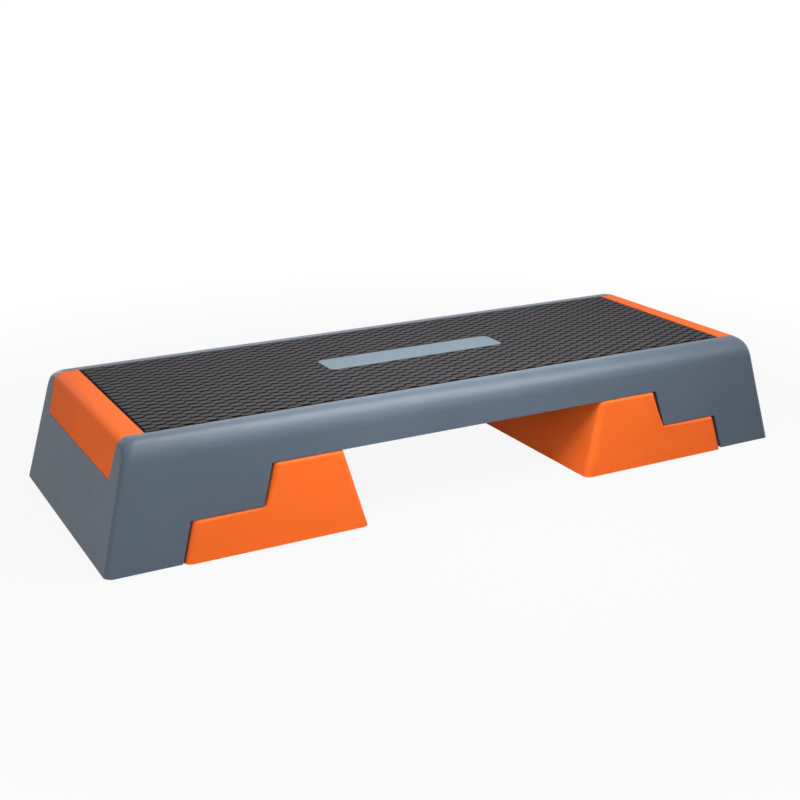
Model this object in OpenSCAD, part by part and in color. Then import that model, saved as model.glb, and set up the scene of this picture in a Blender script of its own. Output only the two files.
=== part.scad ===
// Aerobic step platform with two lift-off risers that nest under its legs.
// Millimetres, +Z up. X runs along the deck, -Y is the front, the floor is at Z = 0.
// The origin lies on the floor, midway between the ends and between front and back.

/* [Deck] */
// Length of the deck along its lower edges
deck_l = 980; // [940:5:1080]
// Depth of the deck along its lower edges
deck_w = 368; // [348:4:420]
// Height of the tread above the deck's lower edges
deck_h = 149; // [145:1:170]
// Inward lean of the two ends, in degrees
end_lean = 14.4; // [10:0.1:16]
// Inward lean of the front and back, in degrees
side_lean = 5.8; // [4:0.1:7]
// Radius over which the front and back turn into the top
shoulder_r = 26; // [20:1:28]
// Radius over which the ends turn into the top
end_r = 14; // [12:1:20]
// Plan radius of the deck's four upright corners
corner_r = 10; // [7:0.5:14]
// Thickness of the deck's moulded walls
deck_wall = 3.6; // [3:0.1:4.5]
// Thickness of the top plate under the mat
top_plate = 4; // [3:0.1:6]
// Thickness of the ribs under the deck
deck_rib_t = 3; // [2:0.1:4]
// Distance between the cross ribs under the bridge
bridge_rib_pitch = 88; // [70:1:92]
// Height of the ribs' lower edges above the lower edges of the legs
rib_lift = 12; // [6:1:20]

/* [Stairs] */
// Height gained each time the risers are moved out by one stair
stair_rise = 50; // [46:0.5:52]
// Length of the flat under each leg, and of the stair above it
stair_run = 90; // [82:1:96]
// Lean of the stair walls, in degrees
stair_lean = 15.5; // [12:0.5:18]
// Play between the risers' treads and the deck above them
stair_play = 0.8; // [0.4:0.1:1.5]
// Gap between the stair walls of a riser and those of the deck
wall_gap = 3; // [2:0.1:4.5]

/* [Risers] */
// Length of a riser's upper tread
riser_tread = 90; // [80:1:96]
// How far a riser's front and back stand out past the deck's
riser_proud = 3; // [2:0.1:4]
// Plan radius of a riser's upright corners
riser_corner_r = 9; // [6:0.5:11]
// Radius of the edges around a riser's treads
tread_edge_r = 3; // [2:0.1:3.5]
// Thickness of a riser's moulded walls
riser_wall = 3.5; // [3:0.1:4.5]
// Thickness of the ribs inside a riser
riser_rib_t = 2.8; // [2:0.1:4]
// Distance between a riser's lengthwise ribs
riser_rib_pitch = 75; // [65:1:85]
// Height of a riser's ribs above its lower edges
riser_rib_lift = 8; // [5:1:12]

/* [Mat] */
// Width of the flat top left bare at each end of the mat
mat_end_margin = 20; // [12:1:40]
// Width of the flat top left bare along the front and back of the mat
mat_side_margin = 7; // [3:0.5:15]
// Thickness of the tread mat
mat_t = 4; // [3:0.1:5]
// How far the mat stands above the deck's top face
mat_proud = 0.5; // [0.2:0.1:1]
// Plan radius of the mat's corners
mat_corner_r = 2; // [1:0.5:6]
// Gap around the mat in its rebate
mat_gap = 0.6; // [0.3:0.1:1]

/* [Badge plate] */
// Length of the badge plate
badge_l = 265; // [200:1:300]
// Depth of the badge plate
badge_w = 47; // [40:1:70]
// Plan radius of the badge plate's corners
badge_r = 9; // [4:0.5:15]
// Thickness of the badge plate
badge_t = 1.8; // [1.2:0.1:2.2]
// Distance of the badge plate's centre behind the middle of the mat
badge_back = 2; // [0:1:20]
// Gap around and under the badge plate in its pocket
badge_gap = 0.3; // [0.2:0.1:0.5]

/* [End caps] */
// Thickness of the end caps
cap_t = 3; // [2.5:0.1:3.5]
// Height of an end cap's lower edge above the deck's lower edges
cap_low = 98; // [90:1:105]
// How much narrower than the mat an end cap is along its lower edge
cap_taper = 11; // [0:1:30]
// Gap between an end cap and the seat around and under it
cap_gap = 0.3; // [0.2:0.1:0.5]
// Distance of each cap screw from the middle of the end
cap_screw_y = 92; // [70:1:105]
// Height of the cap screws above the cap's lower edge
cap_screw_lift = 14; // [12:1:18]
// Diameter of the cap's screw bosses
cap_boss_d = 8.4; // [7:0.1:10]
// Length of the cap's screw bosses behind the cap
cap_boss_l = 12; // [10:0.5:14]
// Wall of the collars around those bosses on the deck
collar_wall = 2.4; // [2:0.1:3]

/* [Feet] */
// Diameter of a rubber foot
foot_d = 28; // [24:1:32]
// Thickness of a rubber foot
foot_t = 5; // [4.8:0.1:6]
// Thickness of the rubber under a foot screw's head
foot_web = 2; // [1.8:0.1:2.2]
// Bevel around the lower edge of a foot
foot_bevel = 1; // [0.5:0.1:1.5]
// How far the deck's feet stand below its legs
deck_foot_drop = 2; // [1.5:0.1:3]
// How far a riser's feet stand below its walls
riser_foot_drop = 1; // [0.8:0.1:1.4]
// Diameter of the posts that carry the feet
post_d = 18; // [15:0.5:22]
// Distance of the deck's feet from its front and back, at the floor
deck_foot_inset = 40; // [34:1:60]
// Distance of a riser's feet from its front and back, at the floor
riser_foot_inset = 33; // [30:1:45]
// Distance of a riser's outer feet from the stair wall, at the floor
riser_foot_out = 28; // [26:1:32]
// Distance of a riser's inner feet from its inner wall, at the floor
riser_foot_in = 42; // [40:1:50]

/* [Screws] */
// Diameter of the self-tapping screws
screw_d = 3.6; // [3:0.1:4]
// Length of a foot screw below its head
foot_screw_l = 18; // [14:1:24]
// Diameter of a foot screw's head
foot_head_d = 8; // [7:0.1:9]
// Thickness of a screw's head
head_t = 2.4; // [2:0.1:2.6]
// Length of a cap screw below its head
cap_screw_l = 9; // [7:0.5:10]
// Diameter of a cap screw's washer head
cap_head_d = 12; // [11:0.1:14]
// Radial gap around a screw in its hole
screw_gap = 0.1; // [0.05:0.01:0.2]

/* [Hidden] */

// Left end and right end, front and rear, as signs
LEFT = -1;
RIGHT = 1;
FRONT = -1;
REAR = 1;

// Segments in the rounding of the deck's upright corners and shoulder, of a riser's treads and
// of the rest of its upright corners
plan_steps = 6;
shoulder_steps = 7;
tread_steps = 3;
corner_steps = 3;
// Least radius inside a moulded corner
inner_r = 2;
// Reach of a cutting body past the face that it cuts
past = 1;

slate = [0.33, 0.38, 0.43];
orange = [0.95, 0.38, 0.13];
charcoal = [0.17, 0.16, 0.17];
silver_grey = [0.56, 0.61, 0.66];
black = [0.08, 0.08, 0.08];
zinc = [0.72, 0.73, 0.75];

// Heights above the floor
leg_z = deck_foot_drop;
tread_z = leg_z + deck_h;
top_z = tread_z - mat_proud;
mat_floor_z = tread_z - mat_t;
tread1_z = stair_rise;
tread2_z = 2 * stair_rise;
notch1_z = tread1_z + stair_play;
notch2_z = tread2_z + stair_play;
riser_z = riser_foot_drop;
cap_low_z = leg_z + cap_low;

// Stair walls of the deck at height z, counted from the middle of the deck
function leg_wall_x(z) = deck_l / 2 - stair_run - (z - leg_z) * tan(stair_lean);
function step_wall_x(z) = leg_wall_x(notch1_z) - stair_run - (z - notch1_z) * tan(stair_lean);
// Walls of a riser at height z
function riser_outer_x(z) = leg_wall_x(z) - wall_gap;
function riser_step_x(z) = step_wall_x(z) - wall_gap;
function riser_inner_x(z) = riser_step_x(tread2_z) - riser_tread - (tread2_z - z) * tan(stair_lean);
// Half depth of the deck and of a riser at height z
function deck_half(z) = deck_w / 2 - (z - leg_z) * tan(side_lean);
function riser_half(z) = deck_half(z) + riser_proud;
// Outside of a deck end at height z
function deck_end_x(z) = deck_l / 2 - (z - leg_z) * tan(end_lean);

// Places of the feet
deck_foot_x = deck_l / 2 - stair_run / 2;
deck_foot_y = deck_w / 2 - deck_foot_inset;
riser_foot_y = riser_half(riser_z) - riser_foot_inset;
riser_foot_x_outer = riser_outer_x(riser_z) - riser_foot_out;
riser_foot_x_inner = riser_inner_x(riser_z) + riser_foot_in;

cap_screw_z = cap_low_z + cap_screw_lift;

// Depths below the outer face of an end: the cap's seat, the back of the wall behind the cap,
// the end of the cap's bosses and the end of the collars around them
seat_in = cap_t + cap_gap;
backing_in = seat_in + deck_wall;
boss_in = cap_t + cap_boss_l;
collar_in = boss_in + cap_gap;

// How far in from the deck's lower edge an outer wall stands at height z: it leans in, turns
// over to the top on radius r, and is moved in by t all over
function wall_in(z, lean, r, t = 0) =
    let (z_arc = top_z - r, arc_in = (z_arc - leg_z) * tan(lean) + r / cos(lean))
    z - z_arc > (r - t) * sin(lean)
        ? arc_in - sqrt(max(0, pow(r - t, 2) - pow(z - z_arc, 2)))
        : (z - leg_z) * tan(lean) + t / cos(lean);

// The mat and the caps fill what the bends leave flat
mat_l = deck_l - 2 * (wall_in(top_z, end_lean, end_r) + mat_end_margin);
mat_w = deck_w - 2 * (wall_in(top_z, side_lean, shoulder_r) + mat_side_margin);
cap_low_w = mat_w - cap_taper;

// Rounded rectangle in plan at height z, anticlockwise from above
function plan_ring(x_half, y_half, r, z) =
    [for (c = [0:3]) for (i = [0:plan_steps])
        let (a = 90 * (c + i / plan_steps),
             cx = c == 0 || c == 3 ? x_half - r : r - x_half,
             cy = c < 2 ? y_half - r : r - y_half)
        [cx + r * cos(a), cy + r * sin(a), z]];

// Rounded edge in X and Z between a tread at height z and a leaning wall that stands at x, r
// below the tread. side is RIGHT where the wall closes the tread's right end
function tread_edge(side, x, z, r) =
    [for (i = [0:tread_steps])
        let (step = side == RIGHT ? i : tread_steps - i,
             a = stair_lean + (90 - stair_lean) * step / tread_steps)
        [x - side * (r / cos(stair_lean) - r * cos(a)), z - r + r * sin(a)]];

// Outline in X and Z of the right riser with its walls moved in by w and its treads down by d,
// anticlockwise from the front
function riser_outline(w, d, r, low) =
    let (z1 = tread1_z - d, z2 = tread2_z - d, w_x = w / cos(stair_lean))
    concat([[riser_inner_x(low) + w_x, low], [riser_outer_x(low) - w_x, low]],
           tread_edge(RIGHT, riser_outer_x(z1 - r) - w_x, z1, r),
           [[riser_step_x(z1) - w_x, z1]],
           tread_edge(RIGHT, riser_step_x(z2 - r) - w_x, z2, r),
           tread_edge(LEFT, riser_inner_x(z2 - r) + w_x, z2, r));

// One ring of the right riser's outer form on its front or rear, in_y behind the face. There
// the upright corners and the treads' edges have turned in by what their radii leave
function riser_ring(side, in_y) =
    let (in_wall = riser_corner_r - sqrt(pow(riser_corner_r, 2) - pow(riser_corner_r - in_y, 2)),
         in_tread = tread_edge_r - sqrt(pow(tread_edge_r, 2) - pow(max(tread_edge_r - in_y, 0), 2)))
    [for (p = riser_outline(in_wall, in_tread, tread_edge_r, riser_z))
        [p.x, side * (riser_half(p.y) - in_y), p.y]];

// Depths behind the face of those rings: over the treads' edges, then around the rest of the
// upright corners
corner_start = acos(1 - tread_edge_r / riser_corner_r);
ring_depths = concat(
    [for (i = [0:tread_steps]) tread_edge_r * (1 - cos(90 * i / tread_steps))],
    [for (i = [1:corner_steps])
        riser_corner_r * (1 - cos(corner_start + (90 - corner_start) * i / corner_steps))]);

// Closed solid through a stack of rings of equal count, each anticlockwise from the stack's end
module loft(rings) {
    n = len(rings[0]);
    m = len(rings);
    points = [for (ring = rings) for (p = ring) p];
    sides = [for (j = [0:m - 2]) for (i = [0:n - 1])
        let (k = (i + 1) % n)
        [j * n + i, (j + 1) * n + i, (j + 1) * n + k, j * n + k]];
    bottom = [for (i = [0:n - 1]) i];
    top = [for (i = [n - 1:-1:0]) (m - 1) * n + i];
    polyhedron(points, concat([bottom], sides, [top]));
}

// The deck's outer form, whose four walls lean in and turn over to a flat top. t moves every
// face in, top_in moves the top down, and deeper carries the walls on below the legs
module deck_block(t = 0, top_in = 0, deeper = 0) {
    r = shoulder_r - t;
    end_angle = asin((shoulder_r - max(t, top_in)) / r);
    arc_z = [for (i = [0:shoulder_steps])
        top_z - shoulder_r + r * sin(end_angle * i / shoulder_steps)];
    loft([for (z = concat([leg_z - deeper], arc_z))
        plan_ring(deck_l / 2 - wall_in(z, end_lean, end_r, t),
                  deck_w / 2 - wall_in(z, side_lean, shoulder_r, t), max(corner_r - t, inner_r), z)]);
}

// The right riser's outer form, built from the rear to the front
module riser_block() {
    loft(concat([for (d = ring_depths) riser_ring(REAR, d)],
                [for (i = [len(ring_depths) - 1:-1:0]) riser_ring(FRONT, ring_depths[i])]));
}

// The right riser's form with every face moved in by t, its walls carried on down to height low
module riser_inside(t, low) {
    y_low = riser_half(low) - t / cos(side_lean);
    y_high = riser_half(tread2_z) - t / cos(side_lean);
    intersection() {
        rotate([90, 0, 0])
            linear_extrude(2 * y_low, center = true)
                polygon(riser_outline(t, t, inner_r, low));
        rotate([90, 0, 90])
            linear_extrude(deck_l / 2)
                polygon([[-y_low, low], [y_low, low], [y_high, tread2_z], [-y_high, tread2_z]]);
    }
}

// Beads along the inside of the upright corners, which make up the wall that their radius takes
module corner_beads() {
    reach = (riser_corner_r - riser_wall) * (sqrt(2) - 1);
    wall_x = riser_wall / cos(stair_lean);
    wall_y = riser_wall / cos(side_lean);
    slope_y = tan(side_lean);
    for (edge = [[riser_outer_x(riser_z) - wall_x, -tan(stair_lean)],
                 [riser_step_x(riser_z) - wall_x, -tan(stair_lean)],
                 [riser_inner_x(riser_z) + wall_x, tan(stair_lean)]])
        for (side = [FRONT, REAR])
            translate([edge[0], side * (riser_half(riser_z) - wall_y), riser_z])
                rotate([0, atan(norm([edge[1], slope_y])), atan2(-side * slope_y, edge[1])])
                    cylinder(r = reach, h = 2 * tread2_z, center = true, $fn = 24);
}

// Box between two corners
module box(low, high) {
    translate(low) cube(high - low);
}

// The space under the deck that the risers and the bridge leave free, run past front and back
module stair_cut() {
    reach = deck_w / 2 + riser_proud + past;
    right = [[leg_wall_x(leg_z - past), leg_z - past],
             [leg_wall_x(notch1_z), notch1_z],
             [step_wall_x(notch1_z), notch1_z],
             [step_wall_x(notch2_z), notch2_z]];
    left = [for (i = [len(right) - 1:-1:0]) [-right[i].x, right[i].y]];
    rotate([90, 0, 0]) linear_extrude(2 * reach, center = true) polygon(concat(right, left));
}

// The two slanted walls that close a leg and the stair above it, on the right
module stair_walls() {
    reach = deck_w / 2 + past;
    t = deck_wall / cos(stair_lean);
    rotate([90, 0, 0]) linear_extrude(2 * reach, center = true) {
        polygon([[leg_wall_x(leg_z), leg_z], [leg_wall_x(leg_z) + t, leg_z],
                 [leg_wall_x(top_z) + t, top_z], [leg_wall_x(top_z), top_z]]);
        polygon([[step_wall_x(notch1_z), notch1_z], [step_wall_x(notch1_z) + t, notch1_z],
                 [step_wall_x(top_z) + t, top_z], [step_wall_x(top_z), top_z]]);
    }
}

// Stiffening ribs of the deck, before they are trimmed to its form. The lengthwise ribs run
// through the posts that carry the feet
module deck_ribs() {
    low = leg_z + rib_lift;
    for (k = [-2:2])
        box([-deck_l / 2, k * deck_foot_y / 2 - deck_rib_t / 2, low],
            [deck_l / 2, k * deck_foot_y / 2 + deck_rib_t / 2, top_z]);
    for (k = [-2:2])
        box([k * bridge_rib_pitch - deck_rib_t / 2, -deck_w / 2, low],
            [k * bridge_rib_pitch + deck_rib_t / 2, deck_w / 2, top_z]);
}

// Region of the right end that its cap covers, grown by g on every open edge
module cap_zone(g = 0) {
    rotate([90, 0, 90])
        translate([0, 0, mat_l / 2 + mat_gap - g])
            linear_extrude(deck_l / 2)
                polygon([[-cap_low_w / 2 - g, cap_low_z - g], [cap_low_w / 2 + g, cap_low_z - g],
                         [mat_w / 2 + g, top_z + past], [-mat_w / 2 - g, top_z + past]]);
}

// Places its children on a cap screw's axis: their +Z points out of the end, square to it,
// from the outer face of the right end
module at_cap_screws() {
    for (s = [FRONT, REAR])
        translate([deck_end_x(cap_screw_z), s * cap_screw_y, cap_screw_z])
            rotate([0, 90 - end_lean, 0])
                children();
}

// Places its children at each deck foot on the floor
module at_deck_feet() {
    for (sx = [LEFT, RIGHT])
        for (sy = [FRONT, REAR])
            translate([sx * deck_foot_x, sy * deck_foot_y, 0])
                children();
}

// Places its children at each foot of the right riser on the floor
module at_riser_feet() {
    for (x = [riser_foot_x_inner, riser_foot_x_outer])
        for (sy = [FRONT, REAR])
            translate([x, sy * riser_foot_y, 0])
                children();
}

// Hole for a foot screw, up from the face that its foot seats on
module foot_screw_hole() {
    translate([0, 0, foot_t - past])
        cylinder(d = screw_d + 2 * screw_gap, h = foot_screw_l, $fn = 32);
}

module deck_shell() {
    color(slate)
    difference() {
        union() {
            difference() {
                deck_block();
                deck_block(deck_wall, mat_t - mat_proud + top_plate, past);
            }
            intersection() {
                deck_block(deck_wall / 2);
                deck_inner_structure();
            }
            cap_backing();
            both_ends() cap_collars();
        }
        stair_cut();
        cap_seats();
        mat_rebate();
        at_deck_feet() foot_screw_hole();
        both_ends() cap_boss_holes();
    }
}

// Draws its children at the right end and mirrored at the left
module both_ends() {
    children();
    mirror([1, 0, 0]) children();
}

// Ribs, stair walls and foot posts of the deck, before they are trimmed to its form
module deck_inner_structure() {
    deck_ribs();
    both_ends() stair_walls();
    at_deck_feet()
        translate([0, 0, foot_t])
            cylinder(d = post_d, h = top_z - foot_t - past, $fn = 48);
}

// Walls behind the two end caps
module cap_backing() {
    intersection() {
        difference() {
            deck_block(deck_wall / 2);
            deck_block(backing_in, 0, past);
        }
        both_ends() cap_zone(deck_wall);
    }
}

// Collars around the cap's bosses, on the inside of the right end
module cap_collars() {
    at_cap_screws()
        translate([0, 0, -collar_in])
            cylinder(d = cap_boss_d + 2 * cap_gap + 2 * collar_wall, h = collar_in - seat_in, $fn = 48);
}

// Holes for the cap's bosses through the right end
module cap_boss_holes() {
    at_cap_screws()
        translate([0, 0, -collar_in - past])
            cylinder(d = cap_boss_d + 2 * cap_gap, h = collar_in + past, $fn = 48);
}

// Hollows in the deck's ends that the caps fill
module cap_seats() {
    difference() {
        both_ends() cap_zone(cap_gap);
        deck_block(seat_in, 0, past);
    }
}

// Hollow in the top that the mat fills
module mat_rebate() {
    box([-mat_l / 2 - mat_gap, -mat_w / 2 - mat_gap, mat_floor_z],
        [mat_l / 2 + mat_gap, mat_w / 2 + mat_gap, top_z + past]);
}

module top_mat() {
    color(charcoal)
    difference() {
        translate([0, 0, mat_floor_z])
            linear_extrude(mat_t)
                rounded_rectangle(mat_l, mat_w, mat_corner_r);
        translate([0, badge_back, tread_z - badge_t - badge_gap])
            linear_extrude(badge_t + badge_gap + past)
                rounded_rectangle(badge_l + 2 * badge_gap, badge_w + 2 * badge_gap,
                                  badge_r + badge_gap);
    }
}

module badge_plate() {
    color(silver_grey)
    translate([0, badge_back, tread_z - badge_t])
        linear_extrude(badge_t)
            rounded_rectangle(badge_l, badge_w, badge_r);
}

// Rectangle of size l by w with corner radius r, from true arcs
module rounded_rectangle(l, w, r) {
    square([l - 2 * r, w], center = true);
    square([l, w - 2 * r], center = true);
    for (sx = [LEFT, RIGHT])
        for (sy = [FRONT, REAR])
            translate([sx * (l / 2 - r), sy * (w / 2 - r)])
                circle(r = r, $fn = 48);
}

// Cap over the right end, from the mat's edge over the bend and down the end face
module end_cap() {
    color(orange)
    difference() {
        union() {
            intersection() {
                difference() {
                    deck_block();
                    deck_block(cap_t, 0, past);
                }
                cap_zone();
            }
            at_cap_screws()
                translate([0, 0, -boss_in])
                    cylinder(d = cap_boss_d, h = cap_boss_l + cap_t / 2, $fn = 48);
        }
        at_cap_screws()
            translate([0, 0, -boss_in - past])
                cylinder(d = screw_d + 2 * screw_gap, h = cap_screw_l + 2 * past, $fn = 32);
    }
}

// Riser on the right: a stair of two treads, open underneath
module riser() {
    color(orange)
    difference() {
        union() {
            difference() {
                riser_block();
                difference() {
                    riser_inside(riser_wall, riser_z - past);
                    corner_beads();
                }
            }
            intersection() {
                riser_inside(riser_wall / 2, riser_z);
                riser_inner_structure();
            }
        }
        at_riser_feet() foot_screw_hole();
    }
}

// Ribs and foot posts of the right riser, before they are trimmed to its form
module riser_inner_structure() {
    low = riser_z + riser_rib_lift;
    for (k = [-1:1])
        box([0, k * riser_rib_pitch - riser_rib_t / 2, low],
            [deck_l / 2, k * riser_rib_pitch + riser_rib_t / 2, tread2_z]);
    for (x = [riser_foot_x_inner, riser_foot_x_outer])
        box([x - riser_rib_t / 2, -deck_w / 2, low],
            [x + riser_rib_t / 2, deck_w / 2, tread2_z]);
    at_riser_feet()
        translate([0, 0, foot_t])
            cylinder(d = post_d, h = tread2_z - foot_t, $fn = 48);
}

// Rubber foot on the floor, with a well for its screw's head
module foot() {
    well_r = foot_head_d / 2 + 2 * screw_gap;
    hole_r = screw_d / 2 + screw_gap;
    color(black)
    rotate_extrude($fn = 64)
        polygon([[hole_r, foot_t - foot_web], [well_r, foot_t - foot_web], [well_r, 0],
                 [foot_d / 2 - foot_bevel, 0], [foot_d / 2, foot_bevel],
                 [foot_d / 2, foot_t], [hole_r, foot_t]]);
}

// Self-tapping screw of length l with its head's seat at Z = 0 and its tip up
module screw(l, head_d) {
    crown = head_t / 3;
    color(zinc)
    rotate_extrude($fn = 64)
        polygon([[0, -head_t], [head_d / 2 - crown, -head_t], [head_d / 2, -head_t + crown],
                 [head_d / 2, 0], [screw_d / 2, 0], [screw_d / 2, l - screw_d / 2], [0, l]]);
}

module deck_foot(sx, sy) {
    translate([sx * deck_foot_x, sy * deck_foot_y, 0]) foot();
}

module riser_foot(sx, x, sy) {
    translate([sx * x, sy * riser_foot_y, 0]) foot();
}

module foot_screw() {
    translate([0, 0, foot_t - foot_web]) screw(foot_screw_l, foot_head_d);
}

module cap_screws() {
    both_ends()
        at_cap_screws()
            translate([0, 0, -collar_in])
                screw(cap_screw_l, cap_head_d);
}

deck_shell();
top_mat();
badge_plate();
mirror([1, 0, 0]) end_cap();  // end_cap_left
end_cap();  // end_cap_right
mirror([1, 0, 0]) riser();  // riser_left
riser();  // riser_right
deck_foot(LEFT, FRONT);  // deck_foot_left_front
deck_foot(LEFT, REAR);  // deck_foot_left_rear
deck_foot(RIGHT, FRONT);  // deck_foot_right_front
deck_foot(RIGHT, REAR);  // deck_foot_right_rear
riser_foot(LEFT, riser_foot_x_outer, FRONT);  // riser_left_foot_outer_front
riser_foot(LEFT, riser_foot_x_outer, REAR);  // riser_left_foot_outer_rear
riser_foot(LEFT, riser_foot_x_inner, FRONT);  // riser_left_foot_inner_front
riser_foot(LEFT, riser_foot_x_inner, REAR);  // riser_left_foot_inner_rear
riser_foot(RIGHT, riser_foot_x_outer, FRONT);  // riser_right_foot_outer_front
riser_foot(RIGHT, riser_foot_x_outer, REAR);  // riser_right_foot_outer_rear
riser_foot(RIGHT, riser_foot_x_inner, FRONT);  // riser_right_foot_inner_front
riser_foot(RIGHT, riser_foot_x_inner, REAR);  // riser_right_foot_inner_rear
cap_screws();
at_deck_feet() foot_screw();  // deck_foot_screws
mirror([1, 0, 0]) at_riser_feet() foot_screw();  // riser_left_foot_screws
at_riser_feet() foot_screw();  // riser_right_foot_screws
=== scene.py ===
"""Aerobic step platform: deck, tread mat, end caps, risers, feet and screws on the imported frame."""
from collections import namedtuple
from math import cos, pi, radians, sin, sqrt, tan

import bmesh
import bpy
from bmesh.types import BMEdge, BMFace, BMVert
from mathutils import Matrix, Vector


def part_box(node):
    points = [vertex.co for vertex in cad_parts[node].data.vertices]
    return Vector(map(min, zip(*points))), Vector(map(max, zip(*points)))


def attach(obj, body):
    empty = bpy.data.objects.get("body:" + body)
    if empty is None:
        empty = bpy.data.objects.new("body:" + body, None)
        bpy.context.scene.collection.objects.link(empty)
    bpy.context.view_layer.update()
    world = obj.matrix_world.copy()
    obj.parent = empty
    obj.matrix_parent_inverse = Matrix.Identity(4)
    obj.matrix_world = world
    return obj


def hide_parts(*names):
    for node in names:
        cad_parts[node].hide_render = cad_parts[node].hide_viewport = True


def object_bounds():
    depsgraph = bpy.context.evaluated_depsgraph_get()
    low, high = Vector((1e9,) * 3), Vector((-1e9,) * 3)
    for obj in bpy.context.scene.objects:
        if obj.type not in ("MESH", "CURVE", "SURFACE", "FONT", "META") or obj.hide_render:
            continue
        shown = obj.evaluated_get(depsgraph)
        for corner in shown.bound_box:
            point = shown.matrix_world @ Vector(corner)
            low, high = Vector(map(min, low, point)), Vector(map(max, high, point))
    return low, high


bl_info = {
    "name": "Aerobic Step",
    "version": (1, 0, 0),
    "blender": (4, 5, 0),
    "location": "3D View > Sidebar > Step",
    "description": "Builds an aerobic step platform with its risers, mat, feet and studio",
    "category": "Object",
}

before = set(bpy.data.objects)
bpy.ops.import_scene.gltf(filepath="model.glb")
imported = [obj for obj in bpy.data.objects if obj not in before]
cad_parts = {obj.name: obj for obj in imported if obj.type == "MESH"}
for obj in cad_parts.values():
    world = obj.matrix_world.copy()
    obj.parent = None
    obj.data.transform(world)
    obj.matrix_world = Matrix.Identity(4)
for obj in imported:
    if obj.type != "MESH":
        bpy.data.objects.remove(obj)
CAD_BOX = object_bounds()

MM = 0.001
UP = Vector((0, 0, 1))
SIDES = {"left": -1, "right": 1}
BOTH_WAYS = (-1, 1)
BODIES = ("deck", "riser_left", "riser_right")

CUT_DIST = 1e-7        # a plane cuts no nearer than this to a corner that is there already
SAME_POINT = 1e-6      # corners closer than this are one
SAME_LEVEL = 1e-5      # heights closer than this are one level
LEAST_CORNER = 2 * MM  # an inner form's upright corners keep at least this radius
CORNER_STEPS = 8       # faces in the bend of an upright corner
SHOULDER_STEPS = 10    # faces in the bend of the deck's shoulders
RIB_STEP = 0.4 * MM    # the cross ribs end this much above the lengthwise ones
FOOT_THICK = 5 * MM    # the posts stand on the feet, this far above the floor
POST_RADIUS = 9 * MM
DECK_COVER = 3 * MM    # a post of the deck ends this far under the mat
RISER_COVER = 2 * MM   # and one of a riser this far under its tread

DECK_LOW, DECK_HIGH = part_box("deck_shell")
MAT_LOW, MAT_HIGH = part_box("top_mat")
BADGE_LOW, BADGE_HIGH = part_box("badge_plate")
CAP_LOW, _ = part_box("end_cap_right")
RISER_LOW, RISER_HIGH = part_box("riser_right")


def length(name, description, default):
    return bpy.props.FloatProperty(name=name, description=description, default=default,
                                   unit="LENGTH", subtype="DISTANCE", precision=4)


def angle(name, description, default):
    return bpy.props.FloatProperty(name=name, description=description, default=radians(default),
                                   unit="ROTATION", subtype="ANGLE")


def colour(name, description, default):
    return bpy.props.FloatVectorProperty(name=name, description=description, default=default,
                                         subtype="COLOR", size=3, min=0, max=1)


class DeckSettings(bpy.types.PropertyGroup):
    end_lean: angle("End lean", "Inward lean of the two ends", 14.4)
    side_lean: angle("Side lean", "Inward lean of the front and back", 5.8)
    shoulder_radius: length("Shoulder radius",
                            "Radius of the bend into the top along the front and back", 26 * MM)
    end_radius: length("End radius", "Radius of the bend into the top at the ends", 14 * MM)
    corner_radius: length("Corner radius", "Plan radius of the upright corners", 10 * MM)
    wall: length("Wall", "Thickness of the moulded walls", 3.6 * MM)
    rib: length("Rib", "Thickness of the ribs underneath", 3 * MM)
    rib_lift: length("Rib lift", "Height of the ribs above the lower edges", 12 * MM)
    bridge_pitch: length("Bridge rib pitch", "Distance between the bridge's cross ribs", 88 * MM)
    stair_run: length("Stair run", "Length of the flat under each leg", 90 * MM)
    stair_lean: angle("Stair lean", "Lean of the stair walls", 15.5)
    stair_play: length("Stair play", "Play between the risers' treads and the deck", 0.8 * MM)
    gap: length("Gap", "Gap around the mat and the caps", 0.6 * MM)
    edge: length("Edge", "Width of the softened edges", 0.7 * MM)
    colour: colour("Colour", "Slate plastic of the deck", (0.097, 0.121, 0.152))


class RiserSettings(bpy.types.PropertyGroup):
    wall_gap: length("Wall gap", "Gap between a riser's stair walls and the deck's", 3 * MM)
    corner_radius: length("Corner radius", "Plan radius of the upright corners", 9 * MM)
    tread_radius: length("Tread radius", "Radius of the treads' edges", 3 * MM)
    wall: length("Wall", "Thickness of the moulded walls", 3.5 * MM)
    rib: length("Rib", "Thickness of the ribs inside", 2.8 * MM)
    rib_pitch: length("Rib pitch", "Distance between the lengthwise ribs", 75 * MM)
    rib_lift: length("Rib lift", "Height of the ribs above the lower edges", 8 * MM)
    colour: colour("Colour", "Orange plastic of the risers and end caps", (0.89, 0.143, 0.022))


class MatSettings(bpy.types.PropertyGroup):
    column_pitch: length("Column pitch", "Distance between the columns of cells", 14.7 * MM)
    row_pitch: length("Row pitch", "Distance between the cells of a column", 13.42 * MM)
    flat: length("Flat", "Length of a cell's straight edges", 9.6 * MM)
    groove: length("Groove", "Width of the grooves along the mat", 4.0 * MM)
    slant_groove: length("Slant groove", "Width of the slanted grooves", 1.1 * MM)
    depth: length("Depth", "Depth of the grooves", 1.6 * MM)
    soft: length("Soft edge", "Width of the rounding on a cell's edge", 0.5 * MM)
    margin: length("Margin", "Bare edge around the cells", 2.8 * MM)
    rubber: colour("Rubber", "Charcoal rubber of the mat", (0.041, 0.036, 0.038))
    badge: colour("Badge", "Grey of the badge plate", (0.135, 0.180, 0.220))


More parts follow.
